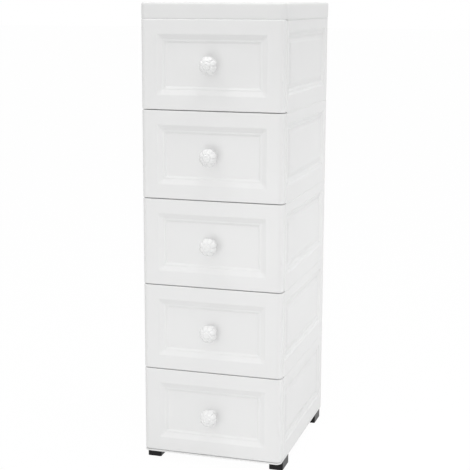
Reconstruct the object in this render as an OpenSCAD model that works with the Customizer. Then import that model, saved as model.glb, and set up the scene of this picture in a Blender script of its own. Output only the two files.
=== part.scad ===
// Drawer tower in moulded plastic: stacked levels of side, back and shelf panels,
// each with a drawer that slides out to the front, under a top cover and on four feet.
// Millimetres, +Z up, the front faces -Y. The origin is the centre of the whole tower's
// box, at the floor. Level 1 is the top one.

/* [Tower] */
// Width over the side panels and the drawer fronts
tower_w = 300; // [250:1:400]
// Depth from the drawer fronts' faces to the back
tower_d = 390; // [300:1:480]
// Height from one drawer to the next
level_h = 181.5; // [150:0.5:240]
// Number of levels, each with one drawer
levels = 5; // [2:1:8]
// Radius of the upright corners
corner_r = 11; // [5:0.5:11]

/* [Panels] */
// Thickness of a moulded skin
wall = 2; // [1.6:0.1:3]
// Depth of a side or back panel, over its flanges
panel_t = 12; // [11.5:0.5:16]
// Thickness of a shelf's plate
plate_t = 2.5; // [2:0.1:4]
// How far a shelf's edge lies behind the side panels' faces
seam_in = 0.5; // [0.5:0.1:2]
// Thickness of stiffening ribs
rib_t = 1.5; // [1.2:0.1:3]
// Depth of the skirt and ribs under a shelf
skirt_h = 10; // [6:0.5:14]
// Clearance between pieces that fit into each other
fit_gap = 0.3; // [0.2:0.05:0.5]
// Radius of the pegs that join the levels
peg_r = 3; // [2:0.1:3.5]
// How far a peg reaches into the panel below
peg_l = 6; // [4:0.5:8]

/* [Top cover] */
// Height of the top cover
cover_h = 32; // [20:1:50]
// How far the cover stands out past the panels
cover_over = 1; // [0:0.1:1.4]
// How far the cover's front lies behind the drawer fronts' faces
cover_front_in = 2; // [0:0.1:3]
// Gap between the cover's front lip and the top drawer front
lid_gap = 0.3; // [0.2:0.1:0.5]
// Radius of the cover's upper edges
cover_edge_r = 5; // [2:0.5:8]

/* [Base and feet] */
// Thickness of the base plate
base_t = 3; // [2.5:0.1:5]
// Height of the feet
foot_h = 20; // [12:1:40]
// Width of a foot
foot_w = 30; // [26:1:50]
// Length of a foot, front to back
foot_l = 51; // [30:1:70]
// Distance from the tower's side to a foot
foot_in_x = 0; // [0:0.5:10]
// Distance from the tower's front or back to a foot
foot_in_y = 20; // [12:1:60]
// Radius of the plug on top of a foot
foot_peg_r = 6; // [4:0.5:8]
// Gap between a foot's plug and the side panel's inner face
foot_peg_gap = 1.5; // [1:0.5:4]
// Depth of the ribs under the base plate
base_rib_h = 8; // [4:0.5:11]

/* [Drawer fronts] */
// Depth of a drawer front's side flange
front_d = 22; // [14:1:30]
// Gap between one drawer front and the next
front_gap = 1.6; // [1.5:0.1:5]
// Gap under a drawer front, above its own level's floor
front_low_gap = 0.8; // [0.5:0.1:1]
// Gap between a drawer front and the side panels behind it
front_back_gap = 1.5; // [0.5:0.1:4]
// Radius of a drawer front's corners, seen from the front
front_corner_r = 4; // [1:0.5:8]
// Radius of the bosses in a drawer front
boss_r = 8; // [6:0.5:12]

/* [Front relief] */
// Flat border left and right of the moulded frame
border_x = 35; // [20:1:60]
// Flat border above and below the moulded frame
border_z = 29.5; // [15:0.5:40]
// Width of the frame's outer slope
slope_1_w = 10.5; // [6:0.5:14]
// Depth of the frame's outer slope
slope_1_d = 4; // [2:0.5:5]
// Width of the ledge between the slopes
ledge_w = 3; // [1:0.5:5]
// Width of the frame's inner slope
slope_2_w = 4; // [2:0.5:6]
// Depth of the frame's inner slope
slope_2_d = 2; // [1:0.5:3]

/* [Side relief] */
// Flat border in front of the side panel's moulded frame
side_border_front = 8; // [6:0.5:20]
// Flat border behind the side panel's moulded frame
side_border_back = 34; // [20:1:50]
// Flat border below the side panel's moulded frame
side_border_low = 32.5; // [12:0.5:34]
// Flat border above the side panel's moulded frame
side_border_top = 20; // [12:0.5:32]
// Width of the side frame's outer slope
side_slope_1_w = 4; // [3:0.5:8]
// Depth of the side frame's outer slope
side_slope_1_d = 2.5; // [1.5:0.5:3]
// Width of the ledge between the side frame's slopes
side_ledge_w = 5; // [1:0.5:6]
// Width of the side frame's inner slope
side_slope_2_w = 4; // [2:0.5:7]
// Depth of the side frame's inner slope
side_slope_2_d = 2.5; // [1:0.5:2.5]
// Width of the groove's floor round the raised field
groove_w = 2.5; // [1:0.5:6]
// Width of the raised field's slope
field_slope_w = 9; // [4:0.5:14]
// Height of the raised field above the groove's floor
field_h = 3; // [1:0.5:4]

/* [Drawer boxes] */
// Thickness of a drawer box's walls
box_wall = 1.8; // [1.5:0.1:3]
// Thickness of a drawer box's floor
box_floor = 1.8; // [1.5:0.1:3]
// Gap between a drawer box and the side panels' flanges
box_side_gap = 5; // [3.5:0.5:10]
// Gap between a drawer box and the back panel's flanges
box_back_gap = 10; // [6:0.5:30]
// Room above a drawer box's rim, up to the shelf
box_top_gap = 28.5; // [16:0.5:60]
// Corner radius of a drawer box
box_r = 6; // [3:0.5:12]
// How far the rim of a drawer box stands out
rim_out = 1.5; // [0.5:0.5:2.5]
// Height of the rim of a drawer box
rim_h = 3; // [2:0.5:6]
// Length of the drawer box that stays inside when the drawer is fully out
drawer_hold = 76; // [50:1:140]

/* [Runners] */
// Height of the rails that a drawer box runs on
rail_h = 4; // [3:0.5:6]
// Width of a rail
rail_w = 4; // [2:0.5:8]
// Distance from a drawer box's side to its rail
rail_in = 21; // [10:1:40]
// Height of the guides beside a drawer box
guide_h = 6; // [5:0.5:12]
// Gap between a drawer box and a guide
guide_gap = 1; // [0.5:0.1:2]
// Distance from the middle to the stops
stop_x = 60; // [30:1:80]
// Width of a stop
stop_w = 14; // [8:1:24]
// Thickness of a stop, front to back
stop_t = 3; // [2:0.5:5]

/* [Knobs] */
// Diameter of a knob's head
knob_d = 37.5; // [28:0.5:48]
// How far a knob stands out from the drawer front
knob_out = 35; // [24:0.5:45]
// Number of petals round a knob's head
petals = 8; // [5:1:12]
// Radius of the knob screw's shank
screw_r = 1.7; // [1.5:0.1:2.5]

/* [Hidden] */
$fn = 64;
eps = 0.01;

// Levels, from the floor up: each level's floor is the top of its shelf or base plate.
base_top = foot_h + base_t;
cover_z = base_top + levels * level_h;
function floor_z(i) = base_top + (levels - i) * level_h;

// The origin is the centre of the box round everything, so the fronts' faces lie here.
face_y = (knob_out - tower_d - cover_over) / 2;

// Panels between the fronts and the back
panel_y = front_d + front_back_gap;
panel_l = tower_d - panel_y;
panel_h = level_h - plate_t;
inside_x = tower_w / 2 - panel_t;
inside_back = tower_d - panel_t;
flange_top = peg_l + 3;
post_l = 15;
peg_x = tower_w / 2 - panel_t / 2;
peg_ys = [panel_y + 9, tower_d - post_l + 3];
peg_hole_r = peg_r + fit_gap;

// Top cover
cover_w = tower_w + 2 * cover_over;
cover_l = tower_d + cover_over - cover_front_in;
cover_y = (tower_d + cover_over + cover_front_in) / 2;
cover_lip = front_gap - front_low_gap - lid_gap;

// Raised field and moulded frame on a side panel
side_relief_l = panel_l - side_border_front - side_border_back;
side_relief_h = panel_h - side_border_low - side_border_top;
side_relief_z = side_border_low + side_relief_h / 2;
side_relief_y = panel_y + side_border_front + side_relief_l / 2;
side_floor_d = side_slope_1_d + side_slope_2_d;
side_run = side_slope_1_w + side_ledge_w + side_slope_2_w;
field_in = side_run + groove_w + field_slope_w;
field_l = side_relief_l - 2 * field_in;
field_w = side_relief_h - 2 * field_in;
cells_y = 4;
cells_z = 2;

// Back panel with its tongues
tongue = 2.6;
tongue_t = 3.2;
tongue_y = inside_back + 4;
back_recess = 1.2;
back_border = 22;

// Feet, with plugs that end inside closed sockets on the base plate
foot_r = 3;
foot_wall = 4;
foot_cap = 6;
socket_wall = 4;
socket_h = rail_h - 0.5;
socket_deep = socket_h - 1.5;
plug_high = socket_deep - 0.5;

// Drawer fronts
front_h = level_h - front_gap;
relief_w = tower_w - 2 * border_x;
relief_h = front_h - 2 * border_z;
relief_d = slope_1_d + slope_2_d;
clip_w = 12;
clip_t = 2;
clip_hook = 1.2;
clip_end = 2;
screw_hole_r = screw_r + 0.2;

// Drawer boxes and their travel
box_w = 2 * (inside_x - box_side_gap);
box_l = inside_back - box_back_gap - front_d;
box_z = rail_h + fit_gap;
box_h = level_h - box_z - box_top_gap;
clip_x = box_w / 2 - 30;
travel = box_l - drawer_hold;
stop_gap = 0.4;
stop_y = panel_y + 5;
lug_y = stop_y + stop_t + stop_gap + travel;
stop_h = rail_h - 0.8;
lug_h = box_z - 0.9;

// Knob
knob_r = knob_d / 2;
knob_back = relief_d;
knob_head_t = 15;
knob_edge_z = 7;
knob_petal_z = 12;
petal_r = knob_r * 0.30;
screw_bite = 12;
screw_l = front_d + box_wall - knob_back + screw_bite;

// ---------------------------------------------------------------- shared shapes

// Moves a piece from the frame whose Y = 0 is the drawer fronts' faces.
module place(z = 0) {
  translate([0, face_y, z]) children();
}

// Rounded rectangle about its centre.
module rounded_rect(w, l, r) {
  square([w - 2 * r, l], center = true);
  square([w, l - 2 * r], center = true);
  for (sx = [-1, 1], sy = [-1, 1])
    translate([sx * (w / 2 - r), sy * (l / 2 - r)])
      circle(r = r);
}

// Pit with a w by l mouth at z = 0 whose four sides slope in by run over drop, with mitred
// corners. Its mouth goes on above z = 0, so that it cuts cleanly through a face.
module sloped_pit(w, l, run, drop, over = 1) {
  k = run / drop * over;
  intersection() {
    rotate([90, 0, 0])
      linear_extrude(l + 4 * k + 4, center = true)
        polygon([[-w / 2 - k, -over], [w / 2 + k, -over], [w / 2 - run, drop], [run - w / 2, drop]]);
    rotate([90, 0, 90])
      linear_extrude(w + 4 * k + 4, center = true)
        polygon([[-l / 2 - k, -over], [l / 2 + k, -over], [l / 2 - run, drop], [run - l / 2, drop]]);
  }
}

// Block that rises from a w + 2 run by l + 2 run foot at z = drop to a w by l top at z = 0.
module sloped_block(w, l, run, drop) {
  intersection() {
    rotate([90, 0, 0])
      linear_extrude(l + 4 * run, center = true)
        polygon([[-w / 2, 0], [w / 2, 0], [w / 2 + run, drop], [-w / 2 - run, drop]]);
    rotate([90, 0, 90])
      linear_extrude(w + 4 * run, center = true)
        polygon([[-l / 2, 0], [l / 2, 0], [l / 2 + run, drop], [-l / 2 - run, drop]]);
  }
}

// Two stepped slopes, one inside the other.
module stepped_pit(w, l, run_1, drop_1, ledge, run_2, drop_2) {
  inset = 2 * (run_1 + ledge);
  sloped_pit(w, l, run_1, drop_1);
  translate([0, 0, drop_1])
    sloped_pit(w - inset, l - inset, run_2, drop_2, over = min(1, ledge * drop_2 / run_2 / 2));
}

// Grid of box-shaped cells in the given space, with ribs left between them.
module rib_cells(low, high, count) {
  size = high - low;
  step = [for (k = [0:2]) (size[k] + rib_t) / count[k]];
  for (a = [0:count.x - 1], b = [0:count.y - 1], c = [0:count.z - 1])
    translate(low + [a * step.x, b * step.y, c * step.z])
      cube(step - [rib_t, rib_t, rib_t]);
}

// Outline of the whole tower in plan, grown by a margin, from Y = 0 to the back.
module tower_plan(grow = 0) {
  translate([0, tower_d / 2])
    rounded_rect(tower_w + 2 * grow, tower_d + 2 * grow, corner_r + grow);
}

// Pegs or their holes on the right side, where the levels join, from z = low up.
module side_pegs(r, low, l) {
  for (y = peg_ys)
    translate([peg_x, y, low])
      cylinder(h = l, r = r);
}

module all_pegs(r, low, l) {
  side_pegs(r, low, l);
  mirror([1, 0, 0])
    side_pegs(r, low, l);
}

// Tower's outline in plan behind the drawer fronts, as far in as the seams lie.
module plate_plan() {
  difference() {
    tower_plan(-seam_in);
    translate([-tower_w, -1])
      square([2 * tower_w, panel_y + seam_in + 1]);
  }
}

// ---------------------------------------------------------------- shelves and base

// What a level's floor carries: two rails, a guide on each side and two stops.
module runners() {
  run_y = panel_y + 3;
  run_l = inside_back - 3 - run_y;
  guide_x = box_w / 2 + guide_gap;
  for (sx = [-1, 1]) {
    translate([sx * (box_w / 2 - rail_in) - rail_w / 2, run_y, -eps])
      cube([rail_w, run_l, rail_h + eps]);
    translate([sx > 0 ? guide_x : fit_gap - inside_x, run_y, -eps])
      cube([inside_x - fit_gap - guide_x, run_l, guide_h + eps]);
    translate([sx * stop_x - stop_w / 2, stop_y, -eps])
      cube([stop_w, stop_t, stop_h + eps]);
  }
}

// Skirt and ribs that hang under a shelf's plate, inside the panels.
module shelf_skirt() {
  skirt_x = inside_x - fit_gap;
  skirt_y = [panel_y + seam_in, inside_back - fit_gap];
  difference() {
    translate([-skirt_x, skirt_y[0], -skirt_h])
      cube([2 * skirt_x, skirt_y[1] - skirt_y[0], skirt_h + eps]);
    rib_cells(
      [wall - skirt_x, skirt_y[0] + wall, -skirt_h - 1],
      [skirt_x - wall, skirt_y[1] - wall, 1],
      [4, 4, 1]
    );
  }
}

module shelf(i) color("whitesmoke") place(floor_z(i)) {
  difference() {
    translate([0, 0, -plate_t])
      linear_extrude(plate_t)
        plate_plan();
    all_pegs(peg_hole_r, -plate_t - 1, plate_t + 2);
  }
  translate([0, 0, -plate_t])
    shelf_skirt();
  runners();
}

// Centre of a right foot, at the front or the back, and of its plug, clear of the side panel.
function foot_x() = tower_w / 2 - foot_in_x - foot_w / 2;
function foot_y(back) = back ? tower_d - foot_in_y - foot_l / 2 : foot_in_y + foot_l / 2;
function plug_x() = inside_x - foot_peg_gap - foot_peg_r;

module foot_sockets(r, low, h) {
  for (sx = [-1, 1], back = [false, true])
    translate([sx * plug_x(), foot_y(back), low])
      cylinder(h = h, r = r);
}

// Ribs under the base plate, between the feet.
module base_ribs() {
  rib_x = tower_w / 2 - foot_in_x - foot_w - 12;
  low_y = foot_in_y + foot_l + 12;
  high_y = tower_d - low_y;
  for (share = [0, 0.5, 1])
    translate([-rib_x, low_y + share * (high_y - low_y) - rib_t / 2, -base_t - base_rib_h])
      cube([2 * rib_x, rib_t, base_rib_h + eps]);
  for (share = [-1, -1 / 3, 1 / 3, 1])
    translate([share * rib_x - rib_t / 2, low_y, -base_t - base_rib_h])
      cube([rib_t, high_y - low_y, base_rib_h + eps]);
}

module base_panel() color("whitesmoke") place(base_top) {
  base_ribs();
  difference() {
    union() {
      translate([0, 0, -base_t])
        linear_extrude(base_t)
          tower_plan();
      runners();
      intersection() {
        foot_sockets(foot_peg_r + socket_wall, -eps, socket_h + eps);
        translate([fit_gap - inside_x, 0, -1])
          cube([2 * (inside_x - fit_gap), tower_d, socket_h + 2]);
      }
    }
    foot_sockets(foot_peg_r + fit_gap, -base_t - 1, base_t + 1 + socket_deep);
    all_pegs(peg_hole_r, -base_t - 1, base_t + 2);
  }
}

// ---------------------------------------------------------------- panels

// Right side panel: moulded frame outside, ribs inside, pegs below and sockets above.
module side_panel(peg_below) {
  pocket_y = [panel_y + wall, tower_d - post_l - wall];
  pocket_z = [wall, panel_h - flange_top];
  frame_x = tower_w / 2 - side_floor_d - wall;
  field_x = frame_x + field_h;
  difference() {
    intersection() {
      linear_extrude(panel_h)
        tower_plan();
      translate([inside_x, panel_y, 0])
        cube([panel_t, panel_l, panel_h]);
    }
    translate([tower_w / 2, side_relief_y, side_relief_z])
      rotate([0, -90, 0])
        side_relief();
    difference() {
      rib_cells(
        [inside_x - 1, pocket_y[0], pocket_z[0]],
        [tower_w / 2 - wall, pocket_y[1], pocket_z[1]],
        [1, cells_y, cells_z]
      );
      // What stays behind the moulded frame and the raised field
      difference() {
        side_backing(frame_x, side_relief_l + 2 * wall, side_relief_h + 2 * wall);
        side_backing(frame_x - 1, field_l - 4, field_w - 4);
      }
      side_backing(field_x, field_l, field_w);
    }
    translate([inside_x - 1, tongue_y - fit_gap, -1])
      cube([tongue + fit_gap + 1, tongue_t + 2 * fit_gap, panel_h + 2]);
    side_pegs(peg_hole_r, panel_h - peg_l - 1, peg_l + 2);
  }
  side_pegs(peg_r, -peg_below, peg_below + eps);
}

// Block from x outwards behind the middle of the side panel's relief, l long and w high.
module side_backing(x, l, w) {
  translate([x, side_relief_y - l / 2, side_relief_z - w / 2])
    cube([panel_t, l, w]);
}

// The lowest panels' pegs end inside the base plate.
function peg_below(i) = i == levels ? base_t - fit_gap : plate_t + peg_l;

// Cut for the side panel's frame, with its depth along Z and the panel's height along X.
module side_relief() {
  difference() {
    stepped_pit(
      side_relief_h, side_relief_l,
      side_slope_1_w, side_slope_1_d, side_ledge_w, side_slope_2_w, side_slope_2_d
    );
    translate([0, 0, side_floor_d - field_h])
      sloped_block(field_w, field_l, field_slope_w * 1.25, field_h * 1.25);
  }
}

module side_panel_right(i) color("gainsboro") place(floor_z(i)) side_panel(peg_below(i));

module side_panel_left(i) color("gainsboro") place(floor_z(i)) mirror([1, 0, 0])
  side_panel(peg_below(i));

// Back panel: a ribbed tray whose tongues slide into the side panels' grooves.
module back_panel(i) color("gainsboro") place(floor_z(i)) {
  half = inside_x - fit_gap;
  difference() {
    union() {
      translate([-half, inside_back, 0])
        cube([2 * half, panel_t, panel_h]);
      translate([-half - tongue, tongue_y, 0])
        cube([2 * (half + tongue), tongue_t, panel_h]);
    }
    rib_cells(
      [wall - half, inside_back - 1, wall],
      [half - wall, tower_d - wall - back_recess, panel_h - wall],
      [3, 1, 2]
    );
    translate([0, tower_d, panel_h / 2])
      rotate([90, 0, 0])
        sloped_pit(2 * (half - back_border), panel_h - 2 * back_border, 2, back_recess);
  }
}

// ---------------------------------------------------------------- top cover

// Cover's outline in plan, grown by a margin.
module cover_plan(grow = 0) {
  translate([0, cover_y])
    rounded_rect(cover_w + 2 * grow, cover_l + 2 * grow, corner_r + cover_over + grow);
}

// Cover's outside: its plan, with the upper edges rounded along both directions.
module cover_shape() {
  r = cover_edge_r;
  intersection() {
    linear_extrude(cover_h)
      cover_plan();
    translate([0, cover_y + cover_l / 2 + 1, cover_h / 2 - r])
      rotate([90, 0, 0])
        linear_extrude(cover_l + 2)
          rounded_rect(cover_w, cover_h + 2 * r, r);
    translate([-cover_w / 2 - 1, cover_y, cover_h / 2 - r])
      rotate([90, 0, 90])
        linear_extrude(cover_w + 2)
          rounded_rect(cover_l, cover_h + 2 * r, r);
  }
}

module top_cover() color("whitesmoke") place(cover_z) {
  ledge = panel_t + seam_in;
  hollow = [cover_w / 2 - wall, cover_l / 2 - wall];
  difference() {
    cover_shape();
    intersection() {
      translate([0, cover_y, 0])
        rib_cells([-hollow.x, -hollow.y, -1], [hollow.x, hollow.y, cover_h - wall], [4, 4, 1]);
      translate([0, 0, -2])
        linear_extrude(cover_h + 2)
          cover_plan(-wall);
    }
  }
  // Ledge that rests on the panels and closes the top level
  difference() {
    translate([0, 0, -plate_t])
      linear_extrude(plate_t + wall)
        plate_plan();
    translate([ledge - tower_w / 2, panel_y + ledge, -plate_t - 1])
      cube([tower_w - 2 * ledge, inside_back - 1 - panel_y - ledge, plate_t + wall + 2]);
  }
  // Lip over the top drawer front
  translate([0, 0, -cover_lip])
    linear_extrude(cover_lip + eps)
      intersection() {
        difference() {
          cover_plan();
          cover_plan(-wall);
        }
        translate([-tower_w, 0])
          square([2 * tower_w, front_d]);
      }
  all_pegs(peg_r, -plate_t - peg_l, peg_l + eps);
}

// ---------------------------------------------------------------- feet

// Right foot about its centre, hollow below, with its plug on top.
module foot() {
  difference() {
    linear_extrude(foot_h)
      rounded_rect(foot_w, foot_l, foot_r);
    translate([0, 0, -1])
      linear_extrude(foot_h - foot_cap + 1)
        square([foot_w - 2 * foot_wall, foot_l - 2 * foot_wall], center = true);
  }
  translate([plug_x() - foot_x(), 0, foot_h - eps])
    cylinder(h = base_t + plug_high + eps, r = foot_peg_r);
}

module foot_at(left, back) color("black") place() {
  mirror([left ? 1 : 0, 0, 0])
    translate([foot_x(), foot_y(back), 0])
      foot();
}

// ---------------------------------------------------------------- drawers

// Drawer front's outline in plan, from y = 0 backwards, with rounded front corners.
module front_plan(w, d, r) {
  translate([-w / 2, r])
    square([w, d - r]);
  translate([r - w / 2, 0])
    square([w - 2 * r, d]);
  for (sx = [-1, 1])
    translate([sx * (w / 2 - r), r])
      circle(r = r);
}

// Boxes at the four clips that hold a drawer box, with the box's floor at z = 0.
module at_clips(size, y, up = 0) {
  for (sx = [-1, 1], share = [0.25, 0.75])
    translate([sx * clip_x - size.x / 2, y, box_h * share + up])
      cube(size);
}

module drawer_front(i) color("white") place(floor_z(i) + front_low_gap) {
  mid_z = front_h / 2;
  box_up = box_z - front_low_gap;
  difference() {
    intersection() {
      linear_extrude(front_h)
        front_plan(tower_w, front_d, corner_r);
      translate([0, front_d, mid_z])
        rotate([90, 0, 0])
          linear_extrude(front_d)
            rounded_rect(tower_w, front_h, front_corner_r);
    }
    translate([0, 0, mid_z])
      rotate([-90, 0, 0])
        stepped_pit(relief_w, relief_h, slope_1_w, slope_1_d, ledge_w, slope_2_w, slope_2_d);
    difference() {
      translate([0, wall, wall])
        linear_extrude(front_h - 2 * wall)
          front_plan(tower_w - 2 * wall, front_d, corner_r - wall);
      translate([-relief_w / 2 - wall, 0, mid_z - relief_h / 2 - wall])
        cube([relief_w + 2 * wall, relief_d + wall, relief_h + 2 * wall]);
      front_ribs();
      translate([0, front_d, mid_z])
        rotate([90, 0, 0])
          cylinder(h = front_d, r = boss_r);
      translate([0, 0, box_up])
        at_clips([clip_w + 2, front_d, clip_t + 2], y = 0, up = -1);
    }
    translate([0, front_d + 1, mid_z])
      rotate([90, 0, 0])
        cylinder(h = front_d + 2, r = screw_hole_r);
  }
  translate([0, 0, box_up]) {
    hook_y = front_d + box_wall + fit_gap;
    at_clips([clip_w, hook_y + clip_end - front_d + 1, clip_t], y = front_d - 1);
    at_clips([clip_w, clip_end, clip_hook + eps], y = hook_y, up = clip_t - eps);
  }
}

// Upright and level ribs inside a drawer front.
module front_ribs() {
  rib_l = front_d - 2;
  for (k = [-2, -1, 1, 2])
    translate([k * tower_w / 5 - rib_t / 2, 0, 0])
      cube([rib_t, rib_l, front_h]);
  for (k = [1, 2])
    translate([-tower_w / 2, 0, k * front_h / 3 - rib_t / 2])
      cube([tower_w, rib_l, rib_t]);
}

module drawer_box(i) color("snow") place(floor_z(i) + box_z) {
  mid_y = front_d + box_l / 2;
  mid_z = front_low_gap - box_z + front_h / 2;
  difference() {
    union() {
      translate([0, mid_y, 0])
        linear_extrude(box_h)
          rounded_rect(box_w, box_l, box_r);
      translate([0, mid_y + rim_out / 2, box_h - rim_h])
        linear_extrude(rim_h)
          rounded_rect(box_w + 2 * rim_out, box_l + rim_out, box_r);
      for (sx = [-1, 1])
        translate([sx * stop_x - stop_w / 2, lug_y, -lug_h])
          cube([stop_w, stop_t, lug_h + eps]);
    }
    translate([0, mid_y, box_floor])
      linear_extrude(box_h)
        rounded_rect(box_w - 2 * box_wall, box_l - 2 * box_wall, box_r - box_wall);
    translate([0, front_d + box_wall + 1, mid_z])
      rotate([90, 0, 0])
        cylinder(h = box_wall + 2, r = screw_hole_r);
    at_clips([clip_w + 2 * fit_gap, box_wall + 2, clip_t + 2 * fit_gap], front_d - 1, -fit_gap);
  }
}

// ---------------------------------------------------------------- knobs

// Petal outline of a knob's head.
module petal_plan() {
  circle(r = knob_r - petal_r);
  for (k = [0:petals - 1])
    rotate(k * 360 / petals)
      translate([knob_r - petal_r, 0])
        circle(r = petal_r);
}

// Knob along +Z, from its base on the drawer front's field to its tip.
module knob_shape() {
  total = knob_out + knob_back;
  head_z = total - knob_head_t;
  neck_r = knob_r * 0.34;
  bud_r = knob_r * 0.3;
  difference() {
    union() {
      cylinder(h = 3, r = knob_r * 0.55);
      cylinder(h = head_z + 2, r = neck_r);
      intersection() {
        translate([0, 0, head_z - 1])
          linear_extrude(knob_head_t)
            petal_plan();
        rotate_extrude()
          polygon([
            [0, head_z], [knob_r * 0.45, head_z], [knob_r + 1, head_z + knob_edge_z],
            [knob_r + 1, head_z + knob_edge_z + 1], [knob_r * 0.5, head_z + knob_petal_z],
            [0, head_z + knob_petal_z]
          ]);
      }
      translate([0, 0, head_z + knob_petal_z - 1])
        cylinder(h = knob_head_t - knob_petal_z + 1, r1 = bud_r, r2 = bud_r * 0.7);
    }
    translate([0, 0, -1])
      cylinder(h = screw_bite + 3, r = screw_r + 0.05);
  }
}

module knob(i) color("white") place(floor_z(i) + front_low_gap + front_h / 2)
  translate([0, knob_back, 0])
    rotate([90, 0, 0])
      knob_shape();

// Pan-head screw from inside the drawer, through the front, into the knob.
module knob_screw(i) color("silver") place(floor_z(i) + front_low_gap + front_h / 2)
  translate([0, front_d + box_wall, 0])
    rotate([90, 0, 0]) {
      cylinder(h = screw_l, r = screw_r);
      translate([0, 0, -2])
        cylinder(h = 2, r = screw_r * 2);
    }

// ---------------------------------------------------------------- nodes

top_cover();
base_panel();
foot_at(true, false);  // foot_front_left
foot_at(false, false);  // foot_front_right
foot_at(true, true);  // foot_rear_left
foot_at(false, true);  // foot_rear_right
for (i = [1:levels - 1]) shelf(i);
for (i = [1:levels]) side_panel_left(i);
for (i = [1:levels]) side_panel_right(i);
for (i = [1:levels]) back_panel(i);
for (i = [1:levels]) drawer_front(i);
for (i = [1:levels]) drawer_box(i);
for (i = [1:levels]) knob(i);
for (i = [1:levels]) knob_screw(i);
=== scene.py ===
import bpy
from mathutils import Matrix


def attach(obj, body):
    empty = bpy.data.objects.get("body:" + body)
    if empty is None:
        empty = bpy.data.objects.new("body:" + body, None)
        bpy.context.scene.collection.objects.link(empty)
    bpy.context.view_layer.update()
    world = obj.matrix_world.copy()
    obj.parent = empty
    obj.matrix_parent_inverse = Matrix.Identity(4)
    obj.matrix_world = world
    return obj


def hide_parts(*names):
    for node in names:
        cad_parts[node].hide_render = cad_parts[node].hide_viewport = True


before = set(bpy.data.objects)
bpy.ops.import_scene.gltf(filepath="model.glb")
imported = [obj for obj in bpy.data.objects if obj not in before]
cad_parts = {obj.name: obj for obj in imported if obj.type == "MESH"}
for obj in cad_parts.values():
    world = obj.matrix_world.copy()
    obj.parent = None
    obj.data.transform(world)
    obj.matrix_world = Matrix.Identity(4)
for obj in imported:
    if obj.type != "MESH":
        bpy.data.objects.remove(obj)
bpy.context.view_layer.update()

import math

import bmesh
import bpy
from mathutils import Matrix, Vector

# Sizes in millimetres, as in the CAD source. X = 0 is the tower's middle, Y = 0 the drawer
# fronts' faces and Z = 0 the floor.
LEVELS = 5
TOWER_W = 300.0
TOWER_D = 390.0
LEVEL_H = 181.5
CORNER_R = 11.0
WALL = 2.0
PANEL_T = 12.0
PLATE_T = 2.5
SEAM_IN = 0.5
RIB_T = 1.5
COVER_H = 32.0
COVER_OVER = 1.0
COVER_EDGE_R = 5.0
COVER_FRONT_IN = 2.0
FOOT_H = 20.0
BASE_T = 3.0
FOOT_W = 30.0
FOOT_L = 51.0
FOOT_IN_Y = 20.0
FOOT_PEG_R = 6.0
FOOT_PEG_GAP = 1.5
FOOT_PEG_LOW = 2.5
FOOT_R = 3.0
FRONT_D = 22.0
FRONT_BACK_GAP = 1.5
BOX_WALL = 1.8
BOX_FLOOR = 1.8
BOX_SIDE_GAP = 5.0
BOX_BACK_GAP = 10.0
BOX_TOP_GAP = 28.5
BOX_R = 6.0
RIM_OUT = 1.5
RIM_H = 3.0
DRAWER_HOLD = 76.0
RAIL_H = 4.0
FIT_GAP = 0.3
POST_D = 15.0
BAND_H = 9.0
BOSS_R = 8.0
SCREW_HOLE_R = 1.9
CLIP_W = 12.0
CLIP_T = 2.0
CLIP_HOOK = 1.2
CLIP_IN = 30.0
TONGUE_OUT = 2.6
TONGUE_IN = 4.0
TONGUE_T = 3.2
STOP_X = 60.0
STOP_Y = 5.0
STOP_W = 14.0
STOP_T = 3.0
STOP_GAP = 0.4
LUG_UP = 0.9
KNOB_OUT = 35.0
KNOB_R = 18.75
HEAD_H = 13.6
PETALS = 8
INNER_PETALS = 5

# Sizes that differ a little from the CAD, so that the dark lines between the pieces come out
# thin enough: the gap over the top front, the gap between two fronts and the part of it that
# is under each front, how far a side panel reaches towards the fronts, and the radius of the
# fronts' corners.
LID_GAP = 0.15
FRONT_GAP = 1.3
FRONT_LOW_GAP = 0.65
PANEL_NOSE = 0.9
FRONT_CORNER_R = 2.5

# Reliefs: the borders round them, then the section from the border inwards as (inset, depth)
FRONT_BORDER_X = 35.0
FRONT_BORDER_Z = 29.5
FRONT_SECTION = [(-3.0, 0.0), (0.0, 0.0), (10.5, 4.0), (13.5, 4.0), (17.5, 6.0), (21.0, 6.0)]
SIDE_BORDER_FRONT = 8.0
SIDE_BORDER_BACK = 34.0
SIDE_BORDER_LOW = 32.5
SIDE_BORDER_TOP = 20.0
SIDE_SECTION = [
    (-3.0, 0.0), (0.0, 0.0), (4.0, 2.5), (9.0, 2.5),
    (13.0, 5.0), (15.5, 5.0), (24.5, 2.0), (27.5, 2.0),
]
BACK_BORDER = 22.0
BACK_SECTION = [(-3.0, 0.0), (0.0, 0.0), (2.0, 1.2), (5.0, 1.2)]

# Edge radii, and a radius for edges and corners that look sharp
FRONT_EDGE_R = 2.4
PANEL_FRONT_R = 0.8
SEAM_R = 0.7
TONGUE_SIDE_R = 0.6
SHARP_R = 0.3
LEAST_R = 0.2

# How far a rib runs into the wall it meets, and into a skin; how far a post or a tongue stays
# inside a panel's ends; how far a panel's band does, and the cover's ribs run into the cover;
# and how far a clip's hook runs into the clip
LAP = 1.0
SKIN_LAP = 0.5
END_IN = 0.2
TOP_LAP = 0.3
HOOK_LAP = 0.1

# Bends in a relief: radius, longest share of a run that a bend takes, number of steps, and
# distance to the grid line that keeps the flat beside the bend flat
BEND_R = 0.8
BEND_SHARE = 0.32
BEND_STEPS = 3
BEND_HOLD = 0.5

# Steps of a panel's rounded edge, lines across a border and a field, steps of a quarter turn
# in plan and of the straight between two, steps of a round boss, and distance from a
# rounded edge to the ring that keeps the flat beside it flat
EDGE_STEPS = 7
BORDER_LINES = 2
FIELD_LINES = 6
TURN_STEPS = 7
RUN_STEPS = 5
ROUND_STEPS = 32
HOLD = 0.8

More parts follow.
